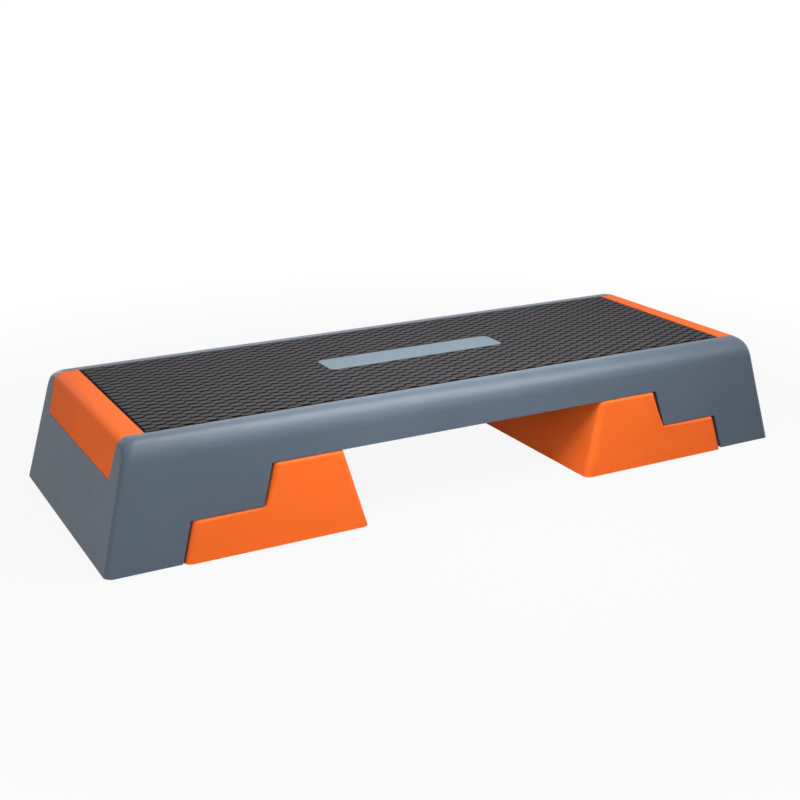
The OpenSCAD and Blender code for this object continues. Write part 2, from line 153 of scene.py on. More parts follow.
class StageSettings(bpy.types.PropertyGroup):
    azimuth: angle("Azimuth", "Camera direction around the step", -28.496)
    elevation: angle("Elevation", "Camera height above the horizon", 18.358)
    place: bpy.props.FloatVectorProperty(name="Camera place", description="Where the camera stands",
                                         default=(-0.8153, -1.46586, 0.638977), unit="LENGTH",
                                         subtype="TRANSLATION")
    lens: bpy.props.FloatProperty(name="Lens", description="Focal length", default=57.663,
                                  unit="CAMERA", subtype="DISTANCE_CAMERA")
    floor: colour("Floor", "Grey of the floor in the lamps' light", (0.34, 0.34, 0.34))


Settings = namedtuple("Settings", "deck riser mat stage")


def settings():
    """The four groups of sizes and colours."""
    scene = bpy.context.scene
    return Settings(scene.step_deck, scene.step_riser, scene.step_mat, scene.step_stage)


class Socket:
    """A node's output that takes part in Python expressions."""

    def __init__(self, shader, output):
        self.shader, self.output = shader, output

    def math(self, operation, *values):
        return self.shader.node("ShaderNodeMath", {"operation": operation},
                                dict(enumerate(values)))

    def __add__(self, other):
        return self.math("ADD", self, other)

    def __radd__(self, other):
        return self.math("ADD", other, self)

    def __sub__(self, other):
        return self.math("SUBTRACT", self, other)

    def __rsub__(self, other):
        return self.math("SUBTRACT", other, self)

    def __mul__(self, other):
        return self.math("MULTIPLY", self, other)

    def __rmul__(self, other):
        return self.math("MULTIPLY", other, self)

    def clamp(self):
        """The value, held between 0 and 1."""
        return self.math("MINIMUM", self.math("MAXIMUM", self, 0.0), 1.0)


class Shader:
    """The nodes of a material or the world: one method makes each, and expressions join them."""

    def __init__(self, owner, end="ShaderNodeOutputMaterial"):
        owner.use_nodes = True
        self.owner, self.tree, self.end = owner, owner.node_tree, end
        self.tree.nodes.clear()

    def node(self, kind, traits=None, inputs=None, output=0):
        """Makes a node, sets its traits, then the values or links of its sockets."""
        made = self.tree.nodes.new(kind)
        for key, value in (traits or {}).items():
            setattr(made, key, value)
        for key, value in (inputs or {}).items():
            if isinstance(value, Socket):
                self.tree.links.new(value.output, made.inputs[key])
            else:
                made.inputs[key].default_value = value
        return Socket(self, made.outputs[output]) if made.outputs else None

    def show(self, surface):
        self.node(self.end, None, {"Surface": surface})

    def white_rays(self):
        """1 for the rays that see the background as white: the camera's, gloss's and glass's."""
        camera, glossy, glass = (self.node("ShaderNodeLightPath", output=ray) for ray in
                                 ("Is Camera Ray", "Is Glossy Ray", "Is Transmission Ray"))
        return camera.math("MAXIMUM", camera.math("MAXIMUM", camera, glossy), glass)


class Material(Shader):
    """A material whose patterns read Object coordinates."""

    def __init__(self, name):
        super().__init__(bpy.data.materials.new(name))
        self.place = self.node("ShaderNodeTexCoord", output="Object")

    def noise(self, scale, detail=2.0, roughness=0.5, place=None):
        return self.node("ShaderNodeTexNoise", None,
                         {"Vector": place or self.place, "Scale": scale, "Detail": detail,
                          "Roughness": roughness})

    def stretched(self, x, y, z):
        return self.node("ShaderNodeMapping", None, {"Vector": self.place, "Scale": (x, y, z)})

    def blend(self, mask, a, b):
        return self.node("ShaderNodeMix", {"data_type": "RGBA"}, {0: mask, 6: a, 7: b}, output=2)

    def bump(self, height, distance, strength):
        return self.node("ShaderNodeBump", None,
                         {"Height": height, "Distance": distance, "Strength": strength})

    def finish(self, **inputs):
        """Gives the surface's inputs to the shader and returns the material."""
        names = {key.replace("_", " ").title().replace("Ior", "IOR"): value
                 for key, value in inputs.items()}
        self.show(self.node("ShaderNodeBsdfPrincipled", None, names))
        return self.owner


def rgba(shade, factor=1.0):
    return (*(min(1.0, c * factor) for c in shade), 1.0)


def slate_plastic(shade):
    """Satin polypropylene with a fine spark-eroded grain, faint clouds, moulding waves and painted
    sparkle specks.
    """
    s = Material("slate plastic")
    grain = s.noise(800, roughness=0.6)
    cloud = s.noise(9, detail=3.0)
    waves = s.noise(26, place=s.stretched(0.5, 1, 1.6))
    # painted sparkle: random lighter specks in the colour stand in for glints of light on the grain
    painted_sparkle = (s.noise(620, detail=1.0) - 0.62).clamp() * 3.0
    tone = s.blend((cloud * 1.6 - 0.3).clamp(), rgba(shade, 0.93), rgba(shade, 1.07))
    tone = s.blend(painted_sparkle.clamp() * 0.35, tone, rgba(shade, 1.5))
    return s.finish(base_color=tone, roughness=0.31 + 0.06 * cloud + 0.06 * grain,
                    normal=s.bump(waves + 0.28 * grain, 1.2 * MM, 0.7), specular_ior_level=0.07)


def orange_plastic(shade):
    """Smooth satin polypropylene with faint flow variation from the moulding."""
    s = Material("orange plastic")
    flow = s.noise(7, place=s.stretched(1, 1, 2.5))
    grain = s.noise(1100, roughness=0.55)
    tone = s.blend((flow * 1.8 - 0.4).clamp(), rgba(shade, 0.95), rgba(shade, 1.05))
    return s.finish(base_color=tone, roughness=0.48 + 0.06 * flow + 0.03 * grain,
                    normal=s.bump(grain, 0.08 * MM, 0.35), specular_ior_level=0.02)


def mat_rubber(shade):
    """Charcoal rubber, with painted shade that makes it nearly black in the grooves and the badge's
    bed.
    """
    s = Material("mat rubber")
    grain = s.noise(900, detail=3.0, roughness=0.65)
    cloud = s.noise(14)
    height = s.node("ShaderNodeSeparateXYZ", None, {"Vector": s.place}, output=2)
    # painted shade: the rubber deeper than this under the cell tops is darkened to nearly black
    painted_shade_below = MAT_HIGH.z - 0.55 * MM
    clear_of_painted_shade = ((height - painted_shade_below) * (1 / (0.25 * MM))).clamp()
    tone = s.blend((cloud * 1.5 - 0.25).clamp(), rgba(shade, 0.88), rgba(shade, 1.12))
    tone = s.blend(clear_of_painted_shade, rgba(shade, 0.02), tone)
    return s.finish(base_color=tone, roughness=0.58 + 0.12 * grain,
                    normal=s.bump(grain, 0.18 * MM, 0.6), specular_ior_level=0.04)


def badge_finish(shade):
    """Satin grey plate, rolled lengthwise."""
    s = Material("badge finish")
    rolled = s.noise(220, detail=3.0, roughness=0.6, place=s.stretched(0.04, 1, 1))
    cloud = s.noise(22)
    tone = s.blend(cloud, rgba(shade, 0.95), rgba(shade, 1.06))
    return s.finish(base_color=tone, roughness=0.36 + 0.08 * rolled,
                    normal=s.bump(rolled, 0.03 * MM, 0.4), specular_ior_level=0.04)


def foot_rubber():
    """Black rubber with a little dust."""
    s = Material("foot rubber")
    grain = s.noise(1300, detail=3.0, roughness=0.6)
    dust = s.noise(90, detail=3.0)
    tone = s.blend((dust * 2 - 0.8).clamp() * 0.5,
                   rgba((0.016, 0.016, 0.017)), rgba((0.05, 0.048, 0.046)))
    return s.finish(base_color=tone, roughness=0.68 + 0.12 * grain,
                    normal=s.bump(grain, 0.2 * MM, 0.5))


def zinc_steel():
    """Brushed steel with a cloudy zinc plating."""
    s = Material("zinc steel")
    brushed = s.noise(700, place=s.stretched(1, 1, 0.1))
    cloud = s.noise(160)
    tone = s.blend(cloud, rgba((0.55, 0.56, 0.57)), rgba((0.70, 0.70, 0.68)))
    return s.finish(base_color=tone, metallic=1.0, roughness=0.28 + 0.16 * brushed,
                    normal=s.bump(brushed, 0.05 * MM, 0.3))


MATERIALS = {}


def material(name):
    """Each finish is made once and shared by its pieces."""
    group = settings()
    makers = {
        "slate": lambda: slate_plastic(group.deck.colour),
        "orange": lambda: orange_plastic(group.riser.colour),
        "mat": lambda: mat_rubber(group.mat.rubber),
        "badge": lambda: badge_finish(group.mat.badge),
        "foot": foot_rubber,
        "zinc": zinc_steel,
    }
    if name not in MATERIALS:
        MATERIALS[name] = makers[name]()
    return MATERIALS[name]


def mesh_from(name, bm):
    """Turns a finished bmesh into a mesh."""
    mesh = bpy.data.meshes.new(name)
    bm.to_mesh(mesh)
    bm.free()
    return mesh


def add_object(name, data):
    made = bpy.data.objects.new(name, data)
    bpy.context.scene.collection.objects.link(made)
    return made


def piece(name, bm, finish, body, replaced, edge=0.0):
    """Turns a finished bmesh into a named piece that rides on its body."""
    bmesh.ops.recalc_face_normals(bm, faces=bm.faces)
    for clear_of_painted_shade in bm.faces:
        clear_of_painted_shade.smooth = True
    made = add_object(name, mesh_from(name, bm))
    made.data.materials.append(material(finish))
    if edge:
        bevel = made.modifiers.new("soft edges", "BEVEL")
        bevel.width = edge
        bevel.segments = 2
        bevel.limit_method = "ANGLE"
        bevel.angle_limit = radians(38)
        bevel.miter_outer = "MITER_ARC"
    made.modifiers.new("flat faces stay flat", "WEIGHTED_NORMAL").keep_sharp = True
    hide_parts(*replaced)
    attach(made, body)


# Tools for the bmesh work

def mirrored(bm, side):
    """The right end's piece, or the same piece for the left end."""
    if side == SIDES["left"]:
        bmesh.ops.scale(bm, vec=(-1, 1, 1), verts=bm.verts)
        bmesh.ops.reverse_faces(bm, faces=bm.faces)
    return bm


def join(target, other):
    """Adds one bmesh to another and frees it."""
    mesh = mesh_from("join", other)
    target.from_mesh(mesh)
    bpy.data.meshes.remove(mesh)


def shift(bm, by):
    bmesh.ops.translate(bm, vec=by, verts=bm.verts)


def of_kind(items, kind):
    return [item for item in items if isinstance(item, kind)]


def middle(clear_of_painted_shade):
    return clear_of_painted_shade.calc_center_median()


def block(low, high):
    bm = bmesh.new()
    low, high = Vector(low), Vector(high)
    bmesh.ops.create_cube(bm, size=1)
    bmesh.ops.scale(bm, vec=high - low, verts=bm.verts)
    shift(bm, (low + high) / 2)
    return bm


def turn_to(axis):
    """The rotation from upright to an axis."""
    return UP.rotation_difference(Vector(axis)).to_matrix()


def rod(base, axis, radius, long, steps=32, tip=None):
    """Cylinder from the middle of its base along an axis, or a cone down to the tip's radius."""
    bm = bmesh.new()
    bmesh.ops.create_cone(bm, cap_ends=True, segments=steps, radius1=radius,
                          radius2=radius if tip is None else tip, depth=long)
    shift(bm, (0, 0, long / 2))
    bmesh.ops.rotate(bm, matrix=turn_to(axis), verts=bm.verts)
    shift(bm, base)
    return bm


def lathe(profile, steps=40):
    """A profile of (radius, height) turned about Z."""
    bm = bmesh.new()
    verts = [bm.verts.new((r, 0, z)) for r, z in profile]
    for a, b in zip(verts, verts[1:]):
        bm.edges.new((a, b))
    bmesh.ops.spin(bm, geom=bm.verts[:] + bm.edges[:], cent=(0, 0, 0), axis=UP,
                   angle=2 * pi, steps=steps, use_merge=True)
    bmesh.ops.remove_doubles(bm, verts=bm.verts, dist=SAME_POINT)
    return bm


def upright_edges(bm):
    return [edge for edge in bm.edges
            if abs(edge.verts[0].co.z - edge.verts[1].co.z) > SAME_POINT]


def round_off(bm, edges, radius, steps=CORNER_STEPS):
    bmesh.ops.bevel(bm, geom=edges, offset=radius, offset_type="OFFSET", segments=steps,
                    profile=0.5, affect="EDGES", clamp_overlap=False, loop_slide=True, material=-1)


def rounded_plate(half_x, half_y, radius, low, high, centre, steps=CORNER_STEPS):
    """Flat plate with rounded corners in plan."""
    bm = block((-half_x, -half_y, low), (half_x, half_y, high))
    round_off(bm, upright_edges(bm), radius, steps)
    shift(bm, (centre.x, centre.y, 0))
    return bm


def everything(bm):
    return bm.verts[:] + bm.edges[:] + bm.faces[:]


def around(faces):
    """The faces with their edges and corners, as bisect_plane wants them, in a fixed order."""
    edges = dict.fromkeys(edge for clear_of_painted_shade in faces for edge in clear_of_painted_shade.edges)
    verts = dict.fromkeys(vert for clear_of_painted_shade in faces for vert in clear_of_painted_shade.verts)
    return [*faces, *edges, *verts]


def slice_faces(bm, point, normal, wanted):
    """Cuts the wanted faces along a plane, and leaves the rest whole."""
    faces = [clear_of_painted_shade for clear_of_painted_shade in bm.faces if wanted(clear_of_painted_shade)]
    if faces:
        bmesh.ops.bisect_plane(bm, geom=around(faces), plane_co=point, plane_no=normal,
                               dist=CUT_DIST)


def delete_faces(bm, wanted):
    bmesh.ops.delete(bm, geom=[clear_of_painted_shade for clear_of_painted_shade in bm.faces if wanted(clear_of_painted_shade)], context="FACES")


def raised(bm, faces):
    """Extrudes an open region, leaves no face behind inside, and gives the new top."""
    made = bmesh.ops.extrude_face_region(bm, geom=faces)
    bmesh.ops.delete(bm, geom=faces, context="FACES_ONLY")
    return of_kind(made["geom"], BMFace)


def extruded(bm, offset):
    """Gives a flat cut its thickness, half on each side."""
    shift(bm, -Vector(offset) / 2)
    made = bmesh.ops.extrude_face_region(bm, geom=bm.faces[:])
    bmesh.ops.translate(bm, vec=offset, verts=of_kind(made["geom"], BMVert))
    bmesh.ops.recalc_face_normals(bm, faces=bm.faces)
    return bm


def walled(bm, thickness, low):
    """Gives an open skin its wall, inwards, with a level lower rim."""
    bmesh.ops.solidify(bm, geom=bm.faces[:], thickness=thickness)
    for vert in bm.verts:
        vert.co.z = max(vert.co.z, low)


def section(form, point, normal):
    """The flat cut of a closed form by a plane, as one face."""
    bm = form.copy()
    bmesh.ops.bisect_plane(bm, geom=everything(bm), plane_co=point, plane_no=normal,
                           dist=CUT_DIST, clear_inner=True)
    rim = [edge for edge in bm.edges if edge.is_boundary]
    keep = set(bmesh.ops.contextual_create(bm, geom=rim)["faces"])
    delete_faces(bm, lambda clear_of_painted_shade: clear_of_painted_shade not in keep)
    return bm


def add_rib(target, form, point, normal, thickness, low, open_stair=False):
    """Adds a rib or inner wall: a form's cut by a plane, from a level up, given its thickness."""
    rib = section(form, point, normal)
    if open_stair:
        cut_stairs(rib)
    bmesh.ops.bisect_plane(rib, geom=everything(rib), plane_co=(0, 0, low), plane_no=UP,
                           clear_inner=True)
    join(target, extruded(rib, Vector(normal) * thickness))


def add_ribs(target, form, ys, xs, thickness, low, open_stair=False):
    """Adds the lengthwise ribs at each of ys, and the cross ribs at each of xs, a step higher."""
    for y in ys:
        add_rib(target, form, (0, y, 0), (0, 1, 0), thickness, low, open_stair)
    for x in xs:
        add_rib(target, form, (x, 0, 0), (1, 0, 0), thickness, low + RIB_STEP, open_stair)


def add_post(target, place, top):
    """Adds the post that a foot is screwed to, from the foot up to a height."""
    join(target, rod((place.x, place.y, FOOT_THICK), UP, POST_RADIUS, top - FOOT_THICK))


def foot_places(body):
    """Where a body's feet stand, from the frame: name and centre."""
    for node in sorted(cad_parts):
        if node.startswith(body + "_foot_") and not node.endswith("screws"):
            low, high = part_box(node)
            yield node, Vector(((low.x + high.x) / 2, (low.y + high.y) / 2, low.z))


def square_to(lean, side=1):
    """The direction square to a leaning wall of an end, outwards and up."""
    return Vector((side * cos(lean), 0, sin(lean)))


# The deck's form

def wall_in(z, lean, radius, t=0.0):
    """How far in from its lower edge a wall of the deck stands at height z, moved in by t."""
    z_arc = DECK_HIGH.z - radius
    arc_in = (z_arc - DECK_LOW.z) * tan(lean) + radius / cos(lean)
    if z - z_arc > (radius - t) * sin(lean):
        return arc_in - sqrt(max(0.0, (radius - t) ** 2 - (z - z_arc) ** 2))
    return (z - DECK_LOW.z) * tan(lean) + t / cos(lean)


def deck_form(t=0.0):
    """Closed form of the deck, moved in by t: a stack of rectangles, its corners then rounded."""
    deck = settings().deck
    radius = deck.shoulder_radius - t
    z_arc = DECK_HIGH.z - deck.shoulder_radius
    heights = [DECK_LOW.z] + [z_arc + radius * sin(pi / 2 * i / SHOULDER_STEPS)
                              for i in range(SHOULDER_STEPS + 1)]
    bm = bmesh.new()
    bmesh.ops.create_grid(bm, x_segments=1, y_segments=1, size=1)
    shift(bm, (0, 0, heights[0]))
    top = bm.faces[:]
    reach = Vector((1, 1))
    for i, z in enumerate(heights):
        if i:
            top = raised(bm, top)
        verts = top[0].verts[:]
        now = Vector((DECK_HIGH.x - wall_in(z, deck.end_lean, deck.end_radius, t),
                      DECK_HIGH.y - wall_in(z, deck.side_lean, deck.shoulder_radius, t)))
        bmesh.ops.scale(bm, vec=(now.x / reach.x, now.y / reach.y, 1), verts=verts)
        bmesh.ops.translate(bm, vec=(0, 0, z - verts[0].co.z), verts=verts)
        reach = now
    bmesh.ops.holes_fill(bm, edges=[edge for edge in bm.edges if edge.is_boundary], sides=0)
    bmesh.ops.recalc_face_normals(bm, faces=bm.faces)
    round_off(bm, upright_edges(bm), max(deck.corner_radius - t, LEAST_CORNER))
    return bm


# Stair walls of the deck, as distances from the middle

def notch_heights():
    """The heights of the two flats that the risers' treads carry."""
    rise, play = RISER_HIGH.z / 2, settings().deck.stair_play
    return rise + play, 2 * rise + play


def leg_wall_x(z):
    deck = settings().deck
    return DECK_HIGH.x - deck.stair_run - (z - DECK_LOW.z) * tan(deck.stair_lean)


def step_wall_x(z):
    deck = settings().deck
    low, _ = notch_heights()
    return leg_wall_x(low) - deck.stair_run - (z - low) * tan(deck.stair_lean)


def in_stair(point):
    low, high = notch_heights()
    if point.z < low:
        return abs(point.x) < leg_wall_x(point.z)
    return point.z < high and abs(point.x) < step_wall_x(point.z)


def cut_stairs(bm, wanted=lambda clear_of_painted_shade: True):
    """Cuts the wanted faces along the stair and deletes what lies in it."""
    lean = settings().deck.stair_lean
    for z in notch_heights():
        slice_faces(bm, (0, 0, z), UP, wanted)
    for side in SIDES.values():
        for wall in (leg_wall_x, step_wall_x):
            slice_faces(bm, (side * wall(DECK_LOW.z), 0, DECK_LOW.z), square_to(lean, side), wanted)
    delete_faces(bm, lambda clear_of_painted_shade: wanted(clear_of_painted_shade) and in_stair(middle(clear_of_painted_shade)))


# The recess that the mat and the caps fill

RECESS = 3.4 * MM    # its depth
CAP_AIM = 1 * MM     # a cap's slanted sides meet the mat's width this far above the deck's top
CAP_WALL = 3 * MM
CAP_EDGE = 0.5 * MM  # width of the caps' softened edges
BOSS_RADIUS, BOSS_LONG = 4.2 * MM, 13 * MM
BOSS_SUNK = 1 * MM   # a boss starts this deep behind the cap's face
CAP_LOW_HALF = max(abs(vert.co.y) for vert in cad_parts["end_cap_right"].data.vertices
                   if vert.co.z < CAP_LOW.z + 0.1 * MM)  # half width of a cap's lower edge


def cap_half_width(z):
    share = (z - CAP_LOW.z) / (DECK_HIGH.z + CAP_AIM - CAP_LOW.z)
    return CAP_LOW_HALF + (MAT_HIGH.y - CAP_LOW_HALF) * share


def on_top(clear_of_painted_shade):
    return middle(clear_of_painted_shade).z > DECK_HIGH.z - SAME_LEVEL


def past_mat(clear_of_painted_shade):
    return abs(middle(clear_of_painted_shade).x) > MAT_HIGH.x + settings().deck.gap


def cut_recess(bm, grow):
    """Cuts the form's faces along the outline of the mat and the caps, grown by so much."""
    mat_x, mat_y = MAT_HIGH.x + settings().deck.gap, MAT_HIGH.y + grow
    for side in BOTH_WAYS:
        slice_faces(bm, (side * mat_x, 0, 0), (1, 0, 0), on_top)
    for side in BOTH_WAYS:
        slice_faces(bm, (0, side * mat_y, 0), (0, 1, 0),
                    lambda clear_of_painted_shade: on_top(clear_of_painted_shade) and abs(middle(clear_of_painted_shade).x) < mat_x)
    slice_faces(bm, (0, 0, CAP_LOW.z - grow), UP, past_mat)
    low, high = cap_half_width(CAP_LOW.z), cap_half_width(DECK_HIGH.z)
    for side in BOTH_WAYS:
        normal = Vector((0, side * (DECK_HIGH.z - CAP_LOW.z), low - high)).normalized()
        slice_faces(bm, Vector((0, side * low, CAP_LOW.z)) + normal * grow, normal,
                    lambda clear_of_painted_shade: past_mat(clear_of_painted_shade) and middle(clear_of_painted_shade).z > CAP_LOW.z - grow)


def in_cap(clear_of_painted_shade, grow=0.0):
    centre = middle(clear_of_painted_shade)
    return (past_mat(clear_of_painted_shade) and centre.z > CAP_LOW.z - grow
            and abs(centre.y) < cap_half_width(centre.z) + grow)


def in_mat(clear_of_painted_shade):
    centre, gap = middle(clear_of_painted_shade), settings().deck.gap
    return on_top(clear_of_painted_shade) and abs(centre.x) < MAT_HIGH.x + gap and abs(centre.y) < MAT_HIGH.y + gap


def deck_skin():
    """The deck's outer skin with its recess, open below and cut by the stair, given its wall."""
    deck = settings().deck
    bm = deck_form()
    grow = deck.gap / 2
    cut_recess(bm, grow)
    sunk = [clear_of_painted_shade for clear_of_painted_shade in bm.faces if in_cap(clear_of_painted_shade, grow) or in_mat(clear_of_painted_shade)]
    bmesh.ops.inset_region(bm, faces=sunk, thickness=0.0, depth=-RECESS, use_even_offset=True,
                           use_boundary=True)
    delete_faces(bm, lambda clear_of_painted_shade: middle(clear_of_painted_shade).z < DECK_LOW.z + SAME_POINT)
    bm.normal_update()
    highest = notch_heights()[1] + 12 * MM  # above the stair and below the shoulder's faces
    cut_stairs(bm, lambda clear_of_painted_shade: abs(clear_of_painted_shade.normal.y) > 0.9 and middle(clear_of_painted_shade).z < highest)
    walled(bm, deck.wall, DECK_LOW.z)
    return bm


class STEP_OT_deck(bpy.types.Operator):
    """Build the deck: skin, ribs, stair walls and foot posts"""
    bl_idname = "step.deck"
    bl_label = "Deck"

    def execute(self, context):
        deck = settings().deck
        posts = [place for _, place in foot_places("deck")]
        post_y = max(place.y for place in posts)
        ranks = range(-2, 3)  # two ribs on each side of the middle one
        bm = deck_skin()
        half = deck_form(deck.wall / 2)
        add_ribs(bm, half, [k * post_y / 2 for k in ranks], [k * deck.bridge_pitch for k in ranks],
                 deck.rib, DECK_LOW.z + deck.rib_lift, open_stair=True)
        for side in SIDES.values():
            normal = square_to(deck.stair_lean, side)
            for wall, foot in ((leg_wall_x, DECK_LOW.z), (step_wall_x, notch_heights()[0])):
                point = Vector((side * wall(foot), 0, foot)) + normal * deck.wall / 2
                add_rib(bm, half, point, normal, deck.wall, foot)
        half.free()
        for place in posts:
            add_post(bm, place, MAT_LOW.z - DECK_COVER)
        piece("deck", bm, "slate", "deck", ["deck_shell"], deck.edge)
        return {"FINISHED"}


def cap_screw_places():
    """Where the axes of the right cap's two screws meet its outer face."""
    lean = settings().deck.end_lean
    out = square_to(lean)
    corners = [vert.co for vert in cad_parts["cap_screws"].data.vertices if vert.co.x > 0]
    for way in BOTH_WAYS:
        tip = max((co for co in corners if co.y * way > 0), key=lambda co: co.dot(out))
        face_x = DECK_HIGH.x - (tip.z - DECK_LOW.z) * tan(lean)
        yield tip + out * ((face_x - tip.x) * cos(lean))


class STEP_OT_end_caps(bpy.types.Operator):
    """Build the two end caps that lie over the bends of the deck"""
    bl_idname = "step.end_caps"
    bl_label = "End caps"

    def execute(self, context):
        out = square_to(settings().deck.end_lean)
        for name, side in SIDES.items():
            bm = deck_form()
            cut_recess(bm, 0.0)
            delete_faces(bm, lambda clear_of_painted_shade: not (in_cap(clear_of_painted_shade) and middle(clear_of_painted_shade).x > 0))
            bmesh.ops.solidify(bm, geom=bm.faces[:], thickness=CAP_WALL)
            for place in cap_screw_places():
                join(bm, rod(place - out * BOSS_SUNK, -out, BOSS_RADIUS, BOSS_LONG))
            mirrored(bm, side)
            piece("orange_cap_" + name, bm, "orange", "deck",
                  ["end_cap_" + name], CAP_EDGE)
        return {"FINISHED"}


# The mat and the badge plate

CELL_ROOT = 0.2 * MM    # the cells reach this far down into the mat
CELL_TAPER = 0.1 * MM   # the sides of a cell draw in by this much
CORNER_SHARE = 1.1      # a cell's corners draw in further than its sides
BADGE_ROOM = 1.6 * MM   # the cells end this far from the badge plate
BED_MARGIN = 1.8 * MM   # the smooth bed stands out this far around the badge plate
BED_CORNER = 4 * MM
BED_LOW, BED_HIGH = MAT_HIGH.z - 1.5 * MM, MAT_HIGH.z - 0.35 * MM
BADGE_CENTRE = (BADGE_LOW + BADGE_HIGH) / 2
BADGE_HALF = (BADGE_HIGH - BADGE_LOW) / 2


def near_badge(clear_of_painted_shade, reach_x, reach_y):
    """Whether a face's middle lies within a level rectangle around the badge's centre."""
    away = middle(clear_of_painted_shade) - BADGE_CENTRE
    return abs(away.x) < reach_x and abs(away.y) < reach_y


class STEP_OT_tread_mat(bpy.types.Operator):
    """Build the rubber tread mat with its raised cells"""
    bl_idname = "step.tread_mat"
    bl_label = "Tread mat"

    def execute(self, context):
        mat = settings().mat
        hold = Vector((BADGE_HALF.x + BADGE_ROOM, BADGE_HALF.y + BADGE_ROOM))
        root = MAT_HIGH.z - mat.depth - CELL_ROOT
        field = self.field(mat, self.cell(mat, root), hold)
        for axis, limit in (((1, 0, 0), MAT_HIGH.x), ((0, 1, 0), MAT_HIGH.y)):
            for way in BOTH_WAYS:
                normal = Vector(axis) * way
                cut = bmesh.ops.bisect_plane(field, geom=everything(field),
                                             plane_co=normal * (limit - mat.margin),
                                             plane_no=normal, clear_outer=True)
                self.close(field, cut, root)
        self.clear_badge(field, hold)
        base = block(MAT_LOW, (MAT_HIGH.x, MAT_HIGH.y, MAT_HIGH.z - mat.depth))
        join(base, field)
        join(base, rounded_plate(BADGE_HALF.x + BED_MARGIN, BADGE_HALF.y + BED_MARGIN,
                                 BED_CORNER, BED_LOW, BED_HIGH, BADGE_CENTRE))
        piece("tread_mat", base, "mat", "deck", ["top_mat"])
        return {"FINISHED"}

    def cell(self, mat, root):
        """One raised cell, centred: a stretched hexagon with a rounded rim."""
        bm = bmesh.new()
        bmesh.ops.create_circle(bm, cap_ends=True, segments=6, radius=1,
                                matrix=Matrix.Rotation(pi / 2, 4, "Z"))
        reach, half = mat.column_pitch - mat.flat / 2, mat.row_pitch / 2
        slant = reach - mat.flat / 2
        tip = reach - mat.slant_groove / 2 * sqrt(half ** 2 + slant ** 2) / half
        side = half - mat.groove / 2
        shoulder = tip - slant * side / half
        for vert in bm.verts:
            at_tip = abs(vert.co.y) < 0.1
            vert.co.x = (tip if at_tip else shoulder) * (1 if vert.co.x > 0 else -1)
            vert.co.y = 0 if at_tip else side * (1 if vert.co.y > 0 else -1)
        bm.normal_update()
        top = bm.faces[:]
        shift(bm, (0, 0, root))
        # the side, and the two slopes of the rim: how far each rises and draws in
        for rise, inset in ((mat.depth + CELL_ROOT - mat.soft, CELL_TAPER),
                            (mat.soft * 0.6, mat.soft * 0.35), (mat.soft * 0.4, mat.soft * 0.65)):
            top = raised(bm, top)
            bmesh.ops.translate(bm, vec=(0, 0, rise), verts=top[0].verts[:])
            centre = middle(top[0])
            for vert in top[0].verts:
                vert.co -= (vert.co - centre).normalized() * inset * CORNER_SHARE
        delete_faces(bm, lambda clear_of_painted_shade: middle(clear_of_painted_shade).z < root + SAME_POINT)
        return bm

    def field(self, mat, cell, hold):
        """The cell in every place of the mat that the badge plate leaves free."""
        one = mesh_from("cell", cell)
        field = bmesh.new()
        columns = int(MAT_HIGH.x / mat.column_pitch) + 1
        rows = int(MAT_HIGH.y / mat.row_pitch) + 1
        for i in range(-columns, columns + 1):
            for j in range(-rows, rows + 1):
                at = Vector((i * mat.column_pitch, (j + 0.5 * (i % 2)) * mat.row_pitch, 0))
                apart = at - BADGE_CENTRE
                if (abs(apart.x) < hold.x - mat.column_pitch
                        and abs(apart.y) < hold.y - mat.row_pitch / 2):
                    continue
                before = len(field.verts)
                field.from_mesh(one)
                field.verts.ensure_lookup_table()
                bmesh.ops.translate(field, vec=at, verts=field.verts[before:])
        bpy.data.meshes.remove(one)
        return field

    def close(self, field, cut, root):
        """Closes the sides of the cells that a cut has opened."""
        made = bmesh.ops.extrude_edge_only(field, edges=of_kind(cut["geom_cut"], BMEdge))
        for vert in of_kind(made["geom"], BMVert):
            vert.co.z = root

    def clear_badge(self, field, hold):
        """Cuts the cells off around the badge plate."""
        for axis, reach in ((Vector((1, 0, 0)), hold.x), (Vector((0, 1, 0)), hold.y)):
            for way in BOTH_WAYS:
                # with room for the cells that reach over the line
                cells = [clear_of_painted_shade for clear_of_painted_shade in field.faces
                         if near_badge(clear_of_painted_shade, hold.x + 20 * MM, hold.y + 12 * MM)]
                bmesh.ops.bisect_plane(field, geom=around(cells), plane_no=axis * way,
                                       plane_co=BADGE_CENTRE + axis * way * reach)
        delete_faces(field, lambda clear_of_painted_shade: near_badge(clear_of_painted_shade, hold.x, hold.y))


class STEP_OT_badge_plate(bpy.types.Operator):
    """Build the bare badge plate in the middle of the mat"""
    bl_idname = "step.badge_plate"
    bl_label = "Badge plate"

    def execute(self, context):
        corner, rim, groove, groove_depth = 9 * MM, 1.6 * MM, 0.4 * MM, 0.18 * MM
        bm = rounded_plate(BADGE_HALF.x, BADGE_HALF.y, corner, BADGE_LOW.z, BADGE_HIGH.z,
                           BADGE_CENTRE, steps=12)
        top = max(bm.faces, key=lambda clear_of_painted_shade: middle(clear_of_painted_shade).z)
        bmesh.ops.inset_region(bm, faces=[top], thickness=rim, use_even_offset=True)
        bmesh.ops.inset_region(bm, faces=[top], thickness=groove, depth=-groove_depth,
                               use_even_offset=True)
        piece("badge", bm, "badge", "deck", ["badge_plate"], edge=0.4 * MM)
        return {"FINISHED"}


# The risers' form, on the right

TREAD_STEPS = 4         # faces in the bend of a tread's edge
RISER_EDGE = 0.6 * MM   # width of the risers' softened edges


def riser_outer_x(z):
    return leg_wall_x(z) - settings().riser.wall_gap


def riser_step_x(z):
    return step_wall_x(z) - settings().riser.wall_gap


def riser_inner_x(z):
    return RISER_LOW.x + (z - RISER_LOW.z) * tan(settings().deck.stair_lean)


def riser_half(z):
    return RISER_HIGH.y - (z - RISER_LOW.z) * tan(settings().deck.side_lean)


